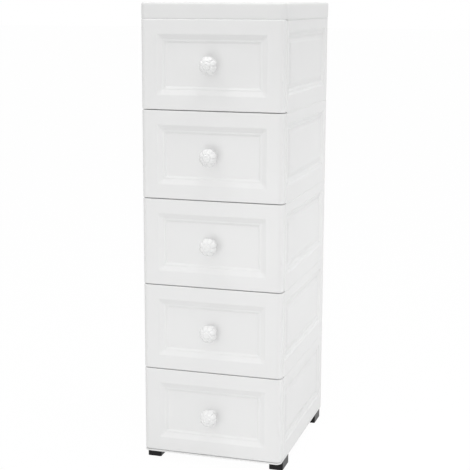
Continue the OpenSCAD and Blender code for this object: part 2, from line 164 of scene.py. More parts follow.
# Merging distance in metres, and the angles from which an edge is shaded sharp, in degrees
MERGE = 1e-7
SHARP_ANGLE = 38.0
KNOB_SHARP_ANGLE = 75.0

BASE_TOP = FOOT_H + BASE_T
COVER_Z = BASE_TOP + LEVELS * LEVEL_H
PANEL_Y = FRONT_D + FRONT_BACK_GAP
PANEL_H = LEVEL_H - PLATE_T
INSIDE_X = TOWER_W / 2 - PANEL_T
INSIDE_BACK = TOWER_D - PANEL_T
FRONT_H = LEVEL_H - FRONT_GAP
RELIEF_D = FRONT_SECTION[-1][1]
SIDE_RELIEF_D = max(depth for _, depth in SIDE_SECTION)
BACK_RELIEF_D = BACK_SECTION[-1][1]
BOX_W = 2 * (INSIDE_X - BOX_SIDE_GAP)
BOX_L = INSIDE_BACK - BOX_BACK_GAP - FRONT_D
BOX_Z = RAIL_H + FIT_GAP
BOX_H = LEVEL_H - BOX_Z - BOX_TOP_GAP
LUG_Y = PANEL_Y + STOP_Y + STOP_T + STOP_GAP + BOX_L - DRAWER_HOLD
FACE_Y = (KNOB_OUT - TOWER_D - COVER_OVER) / 2
MM = 0.001


def floor_z(level):
    """Height of a level's bottom. Level 1 is the top one."""
    return BASE_TOP + (LEVELS - level) * LEVEL_H


# ---------------------------------------------------------------- mesh building


class Shape:
    """Points in millimetres and faces of one piece."""

    def __init__(self):
        self.points = []
        self.faces = []

    def add(self, points):
        start = len(self.points)
        self.points += [tuple(p) for p in points]
        return list(range(start, len(self.points)))

    def bridge(self, a, b):
        """Quads between two closed loops with as many points."""
        for k in range(len(a)):
            m = (k + 1) % len(a)
            self.faces.append((a[k], a[m], b[m], b[k]))

    def loft(self, rings, closed_low=True, closed_high=True):
        """Skin over rings of as many points, with flat ends."""
        loops = [self.add(r) for r in rings]
        for a, b in zip(loops, loops[1:]):
            self.bridge(a, b)
        if closed_low:
            self.faces.append(tuple(reversed(loops[0])))
        if closed_high:
            self.faces.append(tuple(loops[-1]))
        return loops

    def block(self, low, high):
        """Box between two corners."""
        x0, y0, z0 = low
        x1, y1, z1 = high
        low_ring = [(x0, y0, z0), (x1, y0, z0), (x1, y1, z0), (x0, y1, z0)]
        high_ring = [(x, y, z1) for x, y, _ in low_ring]
        self.loft([low_ring, high_ring])


def softened(section):
    """A section of straight runs, with each bend replaced by a short curve."""
    out = [section[0]]
    for before, here, after in zip(section, section[1:], section[2:]):
        a, p, b = Vector(before), Vector(here), Vector(after)
        back, on = (a - p).normalized(), (b - p).normalized()
        r_back = min(BEND_R, (a - p).length * BEND_SHARE)
        r_on = min(BEND_R, (b - p).length * BEND_SHARE)
        start, end = p + back * r_back, p + on * r_on
        out.append(tuple(start + back * min(BEND_HOLD, r_back / 2)))
        for k in range(BEND_STEPS + 1):
            t = k / BEND_STEPS
            out.append(tuple(start * (1 - t) ** 2 + p * 2 * t * (1 - t) + end * t * t))
        out.append(tuple(end + on * min(BEND_HOLD, r_on / 2)))
    out.append(section[-1])
    return out


def lines(span, radii, relief, section):
    """Grid lines along one direction of a moulded face: (place, edge drop, section's step)."""
    low, high = span
    r_low, r_high = radii
    turns = [math.pi / 2 * (1 - k / EDGE_STEPS) for k in range(EDGE_STEPS + 1)]
    first = [(low + r_low * (1 - math.sin(t)), r_low * (1 - math.cos(t)), 0) for t in turns]
    last = [
        (high - r_high * (1 - math.sin(t)), r_high * (1 - math.cos(t)), 0)
        for t in reversed(turns)
    ]
    steps = list(enumerate(section))
    rise = [(relief[0] + inset, 0.0, k) for k, (inset, _) in steps]
    fall = [(relief[1] - inset, 0.0, k) for k, (inset, _) in reversed(steps)]

    def evenly(a, b, count, step):
        return [(a + (b - a) * (k + 1) / (count + 1), 0.0, step) for k in range(count)]

    return (
        first + evenly(first[-1][0], rise[0][0], BORDER_LINES, 0)
        + rise + evenly(rise[-1][0], fall[0][0], FIELD_LINES, len(section) - 1)
        + fall + evenly(fall[-1][0], last[0][0], BORDER_LINES, 0) + last
    )


def moulded_skin(shape, us, vs, section, base, place):
    """Grid over a moulded face whose frames have mitred corners.

    Returns the grid places round its edge, and the points there as a closed loop.
    """
    table = []
    for u, drop_u, ku in us:
        table.append(shape.add([
            place(u, v, base + drop_u + drop_v + section[min(ku, kv)][1])
            for v, drop_v, kv in vs
        ]))
    for i in range(len(us) - 1):
        for j in range(len(vs) - 1):
            a, b = table[i][j], table[i + 1][j]
            c, d = table[i + 1][j + 1], table[i][j + 1]
            ku, kv = (us[i][2], us[i + 1][2]), (vs[j][2], vs[j + 1][2])
            if ku[0] != ku[1] and ku == kv:
                shape.faces += [(a, b, c), (a, c, d)]
            elif ku[0] != ku[1] and ku == (kv[1], kv[0]):
                shape.faces += [(a, b, d), (b, c, d)]
            else:
                shape.faces.append((a, b, c, d))
    n, m = len(us), len(vs)
    edge = [(i, 0) for i in range(n)] + [(n - 1, j) for j in range(1, m)]
    edge += [(i, m - 1) for i in range(n - 2, -1, -1)] + [(0, j) for j in range(m - 2, 0, -1)]
    return edge, [table[i][j] for i, j in edge]


def moulded_panel(shape, u_range, v_range, u_radii, v_radius, relief_u, relief_v, section,
                  depth, place):
    """Hollow moulded panel: outer skin, edges that turn back to a depth, and an inner skin."""
    outer = softened(section)
    deepest = max(d for _, d in section)
    # The inner skin goes down to the relief's full depth almost at once
    inner_run = 0.4
    shares = [k / (len(outer) - 1) for k in range(len(outer))]
    inner = [(inner_run * t, deepest * t) for t in shares]
    loops = []
    for skin, wall in ((outer, 0.0), (inner, WALL)):
        radii = [max(r - wall, LEAST_R) for r in (*u_radii, v_radius, v_radius)]
        us = lines(
            (u_range[0] + wall, u_range[1] - wall), radii[:2],
            (relief_u[0] - wall, relief_u[1] + wall), skin,
        )
        vs = lines(
            (v_range[0] + wall, v_range[1] - wall), radii[2:],
            (relief_v[0] - wall, relief_v[1] + wall), skin,
        )
        edge, loop = moulded_skin(shape, us, vs, skin, wall, place)
        turned = shape.add([place(us[i][0], vs[j][0], depth) for i, j in edge])
        shape.bridge(loop, turned)
        loops.append(turned)
    shape.bridge(*loops)


def circle(r):
    """Points round a circle, as pairs."""
    turns = [2 * math.pi * k / ROUND_STEPS for k in range(ROUND_STEPS)]
    return [(r * math.cos(t), r * math.sin(t)) for t in turns]


def ring(x0, x1, y0, y1, r_front, r_back, z):
    """Rounded rectangle at a height, with its own radius at the front (low Y) and the back."""
    corners = [
        (x1, y0, r_front, -90), (x1, y1, r_back, 0), (x0, y1, r_back, 90), (x0, y0, r_front, 180),
    ]
    points = []
    for x, y, r, start in corners:
        cx = x - r if x == x1 else x + r
        cy = y - r if y == y1 else y + r
        for k in range(TURN_STEPS + 1):
            t = math.radians(start + 90 * k / TURN_STEPS)
            points.append((cx + r * math.cos(t), cy + r * math.sin(t), z))
    out = []
    for k, p in enumerate(points):
        out.append(p)
        if k % (TURN_STEPS + 1) == TURN_STEPS:
            q = points[(k + 1) % len(points)]
            for m in range(1, RUN_STEPS):
                out.append(tuple(a + (b - a) * m / RUN_STEPS for a, b in zip(p, q)))
    return out


def cover_ring(inset, z):
    """The cover's outline in plan, less an inset."""
    half = TOWER_W / 2 + COVER_OVER - inset
    r = CORNER_R + COVER_OVER - inset
    return ring(-half, half, COVER_FRONT_IN + inset, TOWER_D + COVER_OVER - inset, r, r, z)


def finished(name, shape, material, body, replaces, mirror=False, sharp=SHARP_ANGLE):
    """Makes the piece from its shape, in metres, riding on a body in place of CAD nodes."""
    side = -1.0 if mirror else 1.0
    mesh = bpy.data.meshes.new(name)
    points = [(side * x * MM, (y + FACE_Y) * MM, z * MM) for x, y, z in shape.points]
    mesh.from_pydata(points, [], shape.faces)
    bm = bmesh.new()
    bm.from_mesh(mesh)
    bmesh.ops.remove_doubles(bm, verts=bm.verts, dist=MERGE)
    bmesh.ops.recalc_face_normals(bm, faces=bm.faces)
    bm.to_mesh(mesh)
    bm.free()
    mesh.shade_smooth()
    mesh.set_sharp_from_angle(angle=math.radians(sharp))
    mesh.materials.append(material)
    piece = bpy.data.objects.new(name, mesh)
    bpy.context.scene.collection.objects.link(piece)
    piece.modifiers.new("flat faces stay flat", "WEIGHTED_NORMAL").keep_sharp = True
    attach(piece, body)
    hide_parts(*replaces)


# ---------------------------------------------------------------- materials

# Noise scales: cloudiness, polish, waves and skin of plastic, patches and grain of metal
CLOUD, POLISH, WAVE, SKIN = 7.0, 12.0, 16.0, 420.0
METAL_PATCH, METAL_GRAIN = 700.0, 2600.0

# Range that noise mostly keeps to, and a narrower one that gives clearer patches
NOISE_RANGE = (0.3, 0.7)
CLOUD_RANGE = (0.35, 0.65)

# Bump heights in metres
WAVE_UP = 0.0004
SKIN_UP = 0.00004
METAL_UP = 0.00003


def new_material(name):
    """Material with only a shader. Returns it, its nodes, links, shader and object places."""
    material = bpy.data.materials.new(name)
    material.use_nodes = True
    nodes, links = material.node_tree.nodes, material.node_tree.links
    nodes.clear()
    output = nodes.new("ShaderNodeOutputMaterial")
    shader = nodes.new("ShaderNodeBsdfPrincipled")
    links.new(shader.outputs["BSDF"], output.inputs["Surface"])
    where = nodes.new("ShaderNodeTexCoord").outputs["Object"]
    return material, nodes, links, shader, where


def noise(nodes, links, scale, detail, source):
    """Noise of about 0 to 1 at places."""
    node = nodes.new("ShaderNodeTexNoise")
    node.inputs["Scale"].default_value = scale
    node.inputs["Detail"].default_value = detail
    links.new(source, node.inputs["Vector"])
    return node.outputs["Fac"]


def ramp(nodes, links, source, span, dark, light):
    """Colour between two values as the source goes through a span."""
    node = nodes.new("ShaderNodeValToRGB")
    node.color_ramp.elements[0].position = span[0]
    node.color_ramp.elements[1].position = span[1]
    node.color_ramp.elements[0].color = (*dark, 1)
    node.color_ramp.elements[1].color = (*light, 1)
    links.new(source, node.inputs["Fac"])
    return node.outputs["Color"]


def spread(nodes, links, source, low, high):
    """Noise spread between two values."""
    node = nodes.new("ShaderNodeMapRange")
    node.inputs["From Min"].default_value = NOISE_RANGE[0]
    node.inputs["From Max"].default_value = NOISE_RANGE[1]
    node.inputs["To Min"].default_value = low
    node.inputs["To Max"].default_value = high
    links.new(source, node.inputs["Value"])
    return node.outputs["Result"]


def bump(nodes, links, height, strength, distance, below=None):
    """Normal of a bumpy face, on top of another bump where one is given."""
    node = nodes.new("ShaderNodeBump")
    node.inputs["Strength"].default_value = strength
    node.inputs["Distance"].default_value = distance
    links.new(height, node.inputs["Height"])
    if below is not None:
        links.new(below, node.inputs["Normal"])
    return node.outputs["Normal"]


def moulded_plastic(name, dark, light, rough, grain=0.04, wave=0.03, ior=1.5):
    """Moulded plastic: faint cloudiness, uneven polish, slow waves and a fine skin texture."""
    material, nodes, links, shader, where = new_material(name)
    cloud = noise(nodes, links, CLOUD, 1.0, where)
    polish = noise(nodes, links, POLISH, 1.0, where)
    slow = noise(nodes, links, WAVE, 1.0, where)
    fine = noise(nodes, links, SKIN, 2.0, where)
    links.new(ramp(nodes, links, cloud, CLOUD_RANGE, dark, light), shader.inputs["Base Color"])
    links.new(spread(nodes, links, polish, *rough), shader.inputs["Roughness"])
    waves = bump(nodes, links, slow, wave, WAVE_UP)
    links.new(bump(nodes, links, fine, grain, SKIN_UP, waves), shader.inputs["Normal"])
    shader.inputs["IOR"].default_value = ior
    return material


def brushed_metal(name, dark, light, rough, grain):
    """Bright metal with fine patches and grain."""
    material, nodes, links, shader, where = new_material(name)
    patches = noise(nodes, links, METAL_PATCH, 3.0, where)
    fine = noise(nodes, links, METAL_GRAIN, 2.0, where)
    links.new(ramp(nodes, links, patches, NOISE_RANGE, dark, light), shader.inputs["Base Color"])
    links.new(spread(nodes, links, fine, *rough), shader.inputs["Roughness"])
    links.new(bump(nodes, links, fine, grain, METAL_UP), shader.inputs["Normal"])
    shader.inputs["Metallic"].default_value = 1.0
    return material


front_plastic = moulded_plastic(
    "front_plastic", (0.808, 0.809, 0.807), (0.816, 0.817, 0.815), (0.255, 0.270)
)
cabinet_plastic = moulded_plastic(
    "cabinet_plastic", (0.802, 0.803, 0.801), (0.812, 0.813, 0.811), (0.325, 0.340)
)
# The cover's plastic is a little darker than the cabinet's: partly its own tone, partly painted
# shade for the darker top of the tower
cover_plastic = moulded_plastic(
    "cover_plastic", (0.780, 0.781, 0.779), (0.790, 0.791, 0.789), (0.285, 0.300)
)
box_plastic = moulded_plastic(
    "box_plastic", (0.780, 0.781, 0.777), (0.795, 0.796, 0.792), (0.38, 0.40)
)
knob_plastic = moulded_plastic(
    "knob_plastic", (0.832, 0.833, 0.831), (0.842, 0.843, 0.841), (0.240, 0.255), wave=0.04
)
foot_plastic = moulded_plastic(
    "foot_plastic", (0.002, 0.002, 0.0025), (0.005, 0.005, 0.0055), (0.32, 0.42),
    grain=0.3, ior=1.34,
)
screw_steel = brushed_metal(
    "screw_steel", (0.52, 0.52, 0.53), (0.66, 0.66, 0.67), (0.28, 0.45), grain=0.15
)

for name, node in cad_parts.items():
    node.data.materials.clear()
    if name.startswith("knob_screw"):
        node.data.materials.append(screw_steel)
    elif name.startswith("foot"):
        node.data.materials.append(foot_plastic)
    else:
        node.data.materials.append(cabinet_plastic)


# ---------------------------------------------------------------- drawer fronts


def rounded_corner(u, v, half_u, half_v, r):
    """Moves a point near a corner of a rectangle so that the corner becomes round."""
    a, b = abs(u) - (half_u - r), abs(v) - (half_v - r)
    if a <= 0 or b <= 0:
        return u, v
    a, b = a / r, b / r
    u_new = half_u - r + r * a * math.sqrt(1 - b * b / 2)
    v_new = half_v - r + r * b * math.sqrt(1 - a * a / 2)
    return math.copysign(u_new, u), math.copysign(v_new, v)


def front_ribs(shape, low, mid_z, relief_x, relief_z):
    """Ribs behind a drawer front's face, deeper ones behind its relief."""
    half = TOWER_W / 2
    high = low + FRONT_H
    skin_in, relief_in, relief_out = WALL - SKIN_LAP, RELIEF_D + LAP, RELIEF_D + WALL
    open_in = FRONT_D - WALL
    for k in (-2, -1, 1, 2):
        x0, x1 = k * TOWER_W / 5 - RIB_T / 2, k * TOWER_W / 5 + RIB_T / 2
        shape.block((x0, relief_in, low + LAP), (x1, open_in, high - LAP))
        reach = relief_z + LAP if abs(k * TOWER_W / 5) < relief_x else 0
        shape.block((x0, skin_in, low + LAP), (x1, relief_out, mid_z - reach))
        shape.block((x0, skin_in, mid_z + reach), (x1, relief_out, high - LAP))
    for k in (-1, 1):
        z0, z1 = mid_z + k * FRONT_H / 6 - RIB_T / 2, mid_z + k * FRONT_H / 6 + RIB_T / 2
        shape.block((LAP - half, relief_in, z0), (half - LAP, open_in, z1))
        for side in (-1, 1):
            ends = sorted((side * (relief_x + LAP), side * (half - 2 * WALL)))
            shape.block((ends[0], skin_in, z0), (ends[1], relief_out, z1))


def drawer_front(level):
    """Front with its relief, ribs, the boss for the knob's screw, and the clips to the box."""
    shape = Shape()
    low = floor_z(level) + FRONT_LOW_GAP
    mid_z = low + FRONT_H / 2
    half = TOWER_W / 2

    def place(u, v, depth):
        x, z = rounded_corner(u, v - mid_z, half, FRONT_H / 2, FRONT_CORNER_R)
        return x, depth, mid_z + z

    moulded_panel(
        shape, (-half, half), (low, low + FRONT_H), (CORNER_R, CORNER_R), FRONT_EDGE_R,
        (FRONT_BORDER_X - half, half - FRONT_BORDER_X),
        (low + FRONT_BORDER_Z, low + FRONT_H - FRONT_BORDER_Z),
        FRONT_SECTION, FRONT_D, place,
    )
    front_ribs(shape, low, mid_z, half - FRONT_BORDER_X, FRONT_H / 2 - FRONT_BORDER_Z)
    boss_ends = (
        (BOSS_R, RELIEF_D + LAP), (BOSS_R, FRONT_D),
        (SCREW_HOLE_R, FRONT_D), (SCREW_HOLE_R, RELIEF_D + LAP),
    )
    boss = [[(x, y, mid_z + z) for x, z in circle(r)] for r, y in boss_ends]
    shape.loft([*boss, boss[0]], closed_low=False, closed_high=False)
    hook_y = FRONT_D + BOX_WALL + FIT_GAP
    for side in (-1, 1):
        for share in (0.25, 0.75):
            x = side * (BOX_W / 2 - CLIP_IN)
            x0, x1 = x - CLIP_W / 2, x + CLIP_W / 2
            z = floor_z(level) + BOX_Z + BOX_H * share
            shape.block((x0, FRONT_D - LAP - WALL, z), (x1, hook_y + CLIP_T, z + CLIP_T))
            shape.block(
                (x0, hook_y, z + CLIP_T - HOOK_LAP), (x1, hook_y + CLIP_T, z + CLIP_T + CLIP_HOOK),
            )
    finished(
        f"front_shell_{level}", shape, front_plastic, f"drawer_{level}",
        [f"drawer_front_{level}"],
    )


# ---------------------------------------------------------------- side and back panels


def side_panel(level, left):
    """Side panel with its relief, a post at the back, a band along the top, and ribs inside."""
    shape = Shape()
    low = floor_z(level)
    high = low + PANEL_H
    half = TOWER_W / 2
    skin_x = half - WALL
    rib_x = half - SIDE_RELIEF_D - WALL / 2
    post_y = TOWER_D - POST_D - WALL

    def place(u, v, depth):
        return half - depth, u, v

    moulded_panel(
        shape, (PANEL_Y - PANEL_NOSE, TOWER_D), (low, high), (PANEL_FRONT_R, CORNER_R), SEAM_R,
        (PANEL_Y + SIDE_BORDER_FRONT, TOWER_D - SIDE_BORDER_BACK),
        (low + SIDE_BORDER_LOW, high - SIDE_BORDER_TOP),
        SIDE_SECTION, PANEL_T, place,
    )
    shape.block(
        (INSIDE_X, post_y, low + END_IN), (skin_x, TOWER_D - CORNER_R - LAP, high - END_IN),
    )
    shape.block(
        (INSIDE_X, PANEL_Y + TOP_LAP, high - BAND_H),
        (skin_x, TOWER_D - POST_D + LAP, high - TOP_LAP),
    )
    start = PANEL_Y + WALL
    step = (post_y - start + RIB_T) / 4
    for k in (1, 2, 3):
        y = start + k * step
        shape.block((INSIDE_X, y - RIB_T, low + LAP), (rib_x, y, high - LAP))
    z = low + (WALL + PANEL_H - BAND_H - RIB_T) / 2
    shape.block((INSIDE_X, start - LAP, z), (rib_x, post_y + LAP, z + RIB_T))
    side = "left" if left else "right"
    finished(
        f"side_shell_{side}_{level}", shape, cabinet_plastic, "cabinet",
        [f"side_panel_{side}_{level}"], mirror=left,
    )


def back_panel(level):
    """Back panel with its relief, tongues that sit in the side panels, and ribs inside."""
    shape = Shape()
    low = floor_z(level)
    high = low + PANEL_H
    half = INSIDE_X - FIT_GAP
    rib_y = TOWER_D - WALL - BACK_RELIEF_D + SKIN_LAP
    tongue_y = INSIDE_BACK + TONGUE_IN

    def place(u, v, depth):
        return u, TOWER_D - depth, v

    moulded_panel(
        shape, (-half, half), (low, high), (TONGUE_SIDE_R, TONGUE_SIDE_R), SEAM_R,
        (BACK_BORDER - half, half - BACK_BORDER), (low + BACK_BORDER, high - BACK_BORDER),
        BACK_SECTION, PANEL_T, place,
    )
    for side in (-1, 1):
        x0, x1 = sorted((side * (half - LAP), side * (half + TONGUE_OUT)))
        shape.block((x0, tongue_y, low + END_IN), (x1, tongue_y + TONGUE_T, high - END_IN))
    step = (2 * (half - WALL) + RIB_T) / 3
    for k in (1, 2):
        x = WALL - half + k * step
        shape.block((x - RIB_T, INSIDE_BACK, low + LAP), (x, rib_y, high - LAP))
    z = (low + high) / 2
    shape.block((LAP - half, INSIDE_BACK, z - RIB_T / 2), (half - LAP, rib_y, z + RIB_T / 2))
    finished(
        f"back_shell_{level}", shape, cabinet_plastic, "cabinet",
        [f"back_panel_{level}"],
    )


# ---------------------------------------------------------------- top cover


def cover_ribs(shape):
    """Crossing ribs under the cover's top."""
    half = TOWER_W / 2 + COVER_OVER - WALL + TOP_LAP
    y0 = COVER_FRONT_IN + WALL - TOP_LAP
    y1 = TOWER_D + COVER_OVER - WALL + TOP_LAP
    z0, z1 = COVER_Z + TOP_LAP, COVER_Z + COVER_H - WALL + TOP_LAP
    for k in (-1, 0, 1):
        x = k * half / 2
        y = (y0 + y1) / 2 + k * (y1 - y0) / 4
        shape.block((x - RIB_T / 2, y0, z0), (x + RIB_T / 2, y1, z1))
        shape.block((-half, y - RIB_T / 2, z0), (half, y + RIB_T / 2, z1))


def cover_ledge(shape):
    """Frame under the cover that rests on the panels."""
    y0 = PANEL_Y + SEAM_IN
    low, high = COVER_Z - PLATE_T, COVER_Z + WALL
    x = TOWER_W / 2 - SEAM_IN
    out = [
        ring(-x, x, y0, TOWER_D - SEAM_IN, SHARP_R, CORNER_R - SEAM_IN, z) for z in (low, high)
    ]
    x = TOWER_W / 2 - PANEL_T - SEAM_IN
    inner = [
        ring(-x, x, y0 + PANEL_T, INSIDE_BACK - LAP, SHARP_R, SHARP_R, z) for z in (high, low)
    ]
    shape.loft([*out, *inner, out[0]], closed_low=False, closed_high=False)


def cover_lip(shape):
    """Lip under the cover's front edge, over the top drawer front."""
    lip = FRONT_GAP - FRONT_LOW_GAP - LID_GAP
    edge, up = 0.08, 0.9
    section = [(0.0, up), (0.0, edge - lip), (edge, -lip), (WALL, -lip), (WALL, up)]
    strips = [
        sorted((x, y) for x, y, _ in cover_ring(inset, 0) if y < FRONT_D) for inset, _ in section
    ]
    along = [
        [(*strip[k], COVER_Z + z) for strip, (_, z) in zip(strips, section)]
        for k in range(len(strips[0]))
    ]
    ends = [[(x, FRONT_D, z) for x, _, z in along[k]] for k in (0, -1)]
    shape.loft([ends[0], *along, ends[1]])


def top_cover():
    """Hollow cover with rounded edges, ribs, a ledge and a lip."""
    shape = Shape()
    low, top = COVER_Z, COVER_Z + COVER_H
    rings = [
        cover_ring(inset, low + up)
        for inset, up in ((0.7, 0.0), (0.2, 0.2), (0.0, 0.7), (0.0, 1.5))
    ]
    rings.append(cover_ring(0.0, top - COVER_EDGE_R - HOLD))
    edge_steps = 8
    for k in range(edge_steps + 1):
        t = math.pi / 2 * k / edge_steps
        inset = COVER_EDGE_R * (1 - math.cos(t))
        rings.append(cover_ring(inset, top - COVER_EDGE_R * (1 - math.sin(t))))
    rings.append(cover_ring(COVER_EDGE_R + HOLD, top))
    outer = shape.loft(rings, closed_low=False)
    inside = shape.loft([cover_ring(WALL, low), cover_ring(WALL, top - WALL)], closed_low=False)
    shape.bridge(outer[0], inside[0])
    cover_ribs(shape)
    cover_ledge(shape)
    cover_lip(shape)
    finished("cover_shell", shape, cover_plastic, "cabinet", ["top_cover"])


# ---------------------------------------------------------------- drawer boxes


def drawer_box(level):
    """Open tray with a rim, rounded inner edges and two lugs below."""
    shape = Shape()
    low = floor_z(level) + BOX_Z
    top = low + BOX_H
    half = BOX_W / 2
    back = FRONT_D + BOX_L

    def tray(inset, z, out=0.0):
        r = max(BOX_R - inset, SHARP_R)
        return ring(
            inset - half - out, half + out - inset, FRONT_D + inset, back + out - inset, r, r, z,
        )

    # Bottom edge, outer wall, rim, top edge and inner wall, as (inset, height, outwards)
    outline = [
        (2.0, low, 0), (0.9, low + 0.3, 0), (0.25, low + 1.0, 0), (0, low + 2.0, 0),
        (0, low + 3.0, 0), (0, top - RIM_H - 0.5, 0), (0, top - RIM_H, 0),
        (0, top - RIM_H + 0.05, RIM_OUT - 0.3), (0, top - RIM_H + 0.4, RIM_OUT),
        (0, top - 0.8, RIM_OUT), (0.25, top - 0.25, RIM_OUT), (0.8, top, RIM_OUT),
        (BOX_WALL - 0.6, top, 0), (BOX_WALL - 0.15, top - 0.2, 0), (BOX_WALL, top - 0.7, 0),
        (BOX_WALL, top - 1.6, 0), (BOX_WALL, low + BOX_FLOOR + 3.5, 0),
    ]
    inner_r, inner_steps = 3, 4
    for k in range(inner_steps + 1):
        t = math.pi / 2 * k / inner_steps
        inset = BOX_WALL + inner_r * (1 - math.cos(t))
        outline.append((inset, low + BOX_FLOOR + inner_r * (1 - math.sin(t)), 0))
    outline.append((BOX_WALL + inner_r + LAP, low + BOX_FLOOR, 0))
    shape.loft([tray(*step) for step in outline])
    for side in (-1, 1):
        x0, x1 = side * STOP_X - STOP_W / 2, side * STOP_X + STOP_W / 2
        shape.block((x0, LUG_Y, low - BOX_Z + LUG_UP), (x1, LUG_Y + STOP_T, low + LAP))
    finished(
        f"box_shell_{level}", shape, box_plastic, f"drawer_{level}",
        [f"drawer_box_{level}"],
    )


# ---------------------------------------------------------------- knobs

# Shares of the head's radius: where the outer petals begin, where the bud ends, and the
# middle of the groove round the bud
PETALS_FROM, BUD_TO, BUD_GROOVE = 0.46, 0.16, 0.17

# Petals: how far they swell, and the depth and width of the grooves between them
OUTER_SWELL, OUTER_GROOVE_D, OUTER_GROOVE_W = 0.9, 1.4, 0.22
INNER_SWELL, INNER_GROOVE_D, INNER_GROOVE_W = 0.5, 0.9, 0.26

# Depth and width of the round grooves inside the outer petals and round the bud
RING_GROOVE_D, RING_GROOVE_W = 1.2, 0.045
BUD_GROOVE_D, BUD_GROOVE_W = 0.7, 0.035

# How far the outline goes in between two petals, as a share of the radius
OUTLINE_IN = 0.09

# Radius, height and how far the petals' outline shows, from the base to the head's edge
KNOB_SECTION = [
    (10.3, 0.0, 0), (10.3, 0.9, 0), (10.1, 1.6, 0), (9.5, 2.3, 0), (8.6, 3.0, 0), (7.7, 4.2, 0),
    (7.0, 6.0, 0), (6.5, 8.0, 0), (6.2, 10.0, 0), (6.2, 14.0, 0), (6.5, 17.0, 0),
    (7.3, 19.2, 0.05), (9.0, 21.0, 0.15), (11.5, 22.5, 0.4), (14.4, 23.7, 0.75),
    (16.8, 24.7, 1), (18.1, 25.6, 1), (18.65, 26.6, 1),
]
KNOB_STEPS = PETALS * 16
HEAD_STEPS = 34


def between_petals(count, t, turned=0.0):
    """0 in a petal's middle, 1 between two petals, at an angle of a round of petals."""
    return abs((t * count / (2 * math.pi) + turned) % 1 - 0.5) * 2


def bell(distance, width):
    """1 in the middle, falling to nothing at about twice the width."""
    return math.exp(-((distance / width) ** 2))


def knob_face(share, t):
    """Height of the head's front over its edge: two rounds of petals and a bud."""
    height = HEAD_H * (1 - share ** 2.3) ** 0.66
    if share > PETALS_FROM:
        rise = math.sin(math.pi * min(1.0, (share - PETALS_FROM) / (1 - PETALS_FROM)))
        groove = bell(1 - between_petals(PETALS, t), OUTER_GROOVE_W)
        height += OUTER_SWELL * rise - OUTER_GROOVE_D * rise ** 0.6 * groove
    else:
        part = (share - BUD_TO) / (PETALS_FROM - BUD_TO)
        rise = math.sin(math.pi * min(1.0, max(0.0, part)))
        groove = bell(1 - between_petals(INNER_PETALS, t, turned=0.25), INNER_GROOVE_W)
        height += INNER_SWELL * rise - INNER_GROOVE_D * rise * groove
    height -= RING_GROOVE_D * bell(share - PETALS_FROM, RING_GROOVE_W)
    return height - BUD_GROOVE_D * bell(share - BUD_GROOVE, BUD_GROOVE_W)


def knob(level):
    """Flower knob: base, neck and a head with two rounds of petals and a bud."""
    shape = Shape()
    mid_z = floor_z(level) + FRONT_LOW_GAP + FRONT_H / 2
    tip = KNOB_OUT + RELIEF_D
    turns = [2 * math.pi * k / KNOB_STEPS for k in range(KNOB_STEPS)]

    def point(r, height, t, shows):
        """Point at an angle, with the radius less between petals where their outline shows."""
        r *= 1 - OUTLINE_IN * shows * between_petals(PETALS, t) ** 3
        return r * math.cos(t), RELIEF_D - height, mid_z + r * math.sin(t)

    rings = [[point(r, height, t, shows) for t in turns] for r, height, shows in KNOB_SECTION]
    for k in range(1, HEAD_STEPS):
        # The first rings lie closer, where the head turns from its edge to its front
        if k < 5:
            share = min(math.cos(math.pi / 2 * (k / HEAD_STEPS) ** 0.8), 0.995)
        else:
            share = 1 - (k / HEAD_STEPS) ** 1.05
        shows = min(1.0, share * 1.2)
        rings.append([
            point(KNOB_R * share, min(tip - HEAD_H + knob_face(share, t), tip), t, shows)
            for t in turns
        ])
    shape.loft(rings)
    finished(
        f"flower_knob_{level}", shape, knob_plastic, f"drawer_{level}",
        [f"knob_{level}"], sharp=KNOB_SHARP_ANGLE,
    )


# ---------------------------------------------------------------- feet

# Height and inset of a foot's outline, from the floor up
FOOT_SECTION = [
    (0.0, 1.0), (0.3, 0.4), (1.0, 0.0), (2.5, 0.0), (FOOT_H - 1.5, 0.0), (FOOT_H - 0.5, 0.0),
    (FOOT_H - 0.1, 0.2), (FOOT_H, 0.6),
]


def foot(name, left, back):
    """Plain foot with the plug that holds it in the base."""
    shape = Shape()
    x1 = TOWER_W / 2
    y0 = TOWER_D - FOOT_IN_Y - FOOT_L if back else FOOT_IN_Y

    def level_ring(z, inset):
        r = FOOT_R - inset * 0.8
        return ring(x1 - FOOT_W + inset, x1 - inset, y0 + inset, y0 + FOOT_L - inset, r, r, z)

    shape.loft([level_ring(z, inset) for z, inset in FOOT_SECTION])
    plug_x = INSIDE_X - FOOT_PEG_GAP - FOOT_PEG_R
    plug_y = y0 + FOOT_L / 2
    plug_top = BASE_TOP + RAIL_H - FOOT_PEG_LOW
    shape.loft([
        [(plug_x + x, plug_y + y, z) for x, y in circle(FOOT_PEG_R)]
        for z in (FOOT_H - LAP, plug_top)
    ])
    finished(f"{name}_shell", shape, foot_plastic, "cabinet", [name], mirror=left)


for level in range(1, LEVELS + 1):
    drawer_front(level)
    side_panel(level, True)
    side_panel(level, False)
    back_panel(level)
    drawer_box(level)
    knob(level)
top_cover()
for end in ("front", "rear"):
    for side in ("left", "right"):
        foot(f"foot_{end}_{side}", side == "left", end == "rear")

# ---------------------------------------------------------------- floor, light and camera

# Reach of the floor in metres, its paint, the strength of its glow, and how much of it is
# glow where it is seen directly; the rest keeps the shadow
FLOOR_REACH = 40.0
FLOOR_PAINT = (0.80, 0.80, 0.80, 1)
FLOOR_GLOW = 1.01
FLOOR_WHITE = 0.97
WHITE = (1, 1, 1, 1)

# Strength of the soft light from all round, and how much more comes straight from the front
ALL_ROUND, FROM_FRONT = 0.37, 0.66


def combined(nodes, links, operation, a, b):
    """Output of a math node on a socket and a second socket or number."""
    node = nodes.new("ShaderNodeMath")
    node.operation = operation
    links.new(a, node.inputs[0])
    if isinstance(b, float):
        node.inputs[1].default_value = b
    else:
        links.new(b, node.inputs[1])
    return node.outputs[0]


